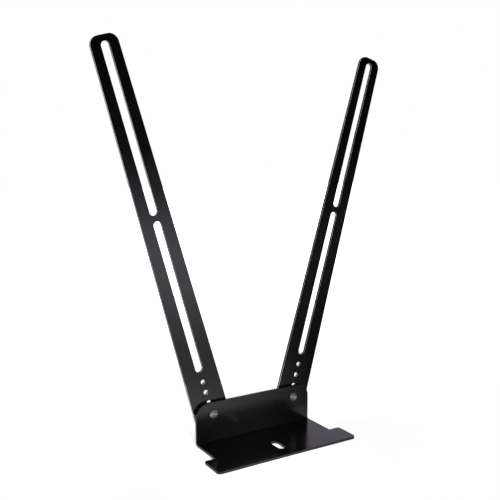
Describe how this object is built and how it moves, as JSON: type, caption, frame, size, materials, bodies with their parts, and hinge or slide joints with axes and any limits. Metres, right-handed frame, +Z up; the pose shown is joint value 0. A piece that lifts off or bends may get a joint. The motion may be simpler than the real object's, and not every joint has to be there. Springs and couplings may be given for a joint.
{
  "type": "screen arm bracket",
  "caption": "Bent sheet-steel shelf bracket with long slotted arms in a V, which swing about bolts behind its flange and fasten to the back of a screen.",
  "frame": {"origin": "centre of the bounding box at its lowest level, on the surface that the shelf stands on", "axes": "+Z up, -Y towards the shelf's front edge, +X to the right seen from the front"},
  "size_m": [0.336, 0.0828, 0.4047],
  "materials": {
    "black_powder_coat": "fine textured semi-gloss black powder coat",
    "black_nylon": "plain black nylon",
    "dark_zinc": "dark zinc plating"
  },
  "bodies": {
    "bracket": {"shelf_bracket": "black_powder_coat", "left_pivot_bolt": "dark_zinc", "left_friction_washer": "black_nylon", "left_flat_washer": "dark_zinc", "left_lock_washer": "dark_zinc", "left_pivot_nut": "dark_zinc", "right_pivot_bolt": "dark_zinc", "right_friction_washer": "black_nylon", "right_flat_washer": "dark_zinc", "right_lock_washer": "dark_zinc", "right_pivot_nut": "dark_zinc"},
    "left_arm": {"left_arm": "black_powder_coat"},
    "right_arm": {"right_arm": "black_powder_coat"}
  },
  "joints": [
    {"name": "left_arm_pivot", "type": "hinge", "parent": "bracket", "child": "left_arm", "pos_m": [-0.05, 0.03295, 0.031], "axis": [0, -1, 0], "range_deg": [-21, 74]},
    {"name": "right_arm_pivot", "type": "hinge", "parent": "bracket", "child": "right_arm", "pos_m": [0.05, 0.03295, 0.031], "axis": [0, 1, 0], "range_deg": [-21, 74]}
  ]
}
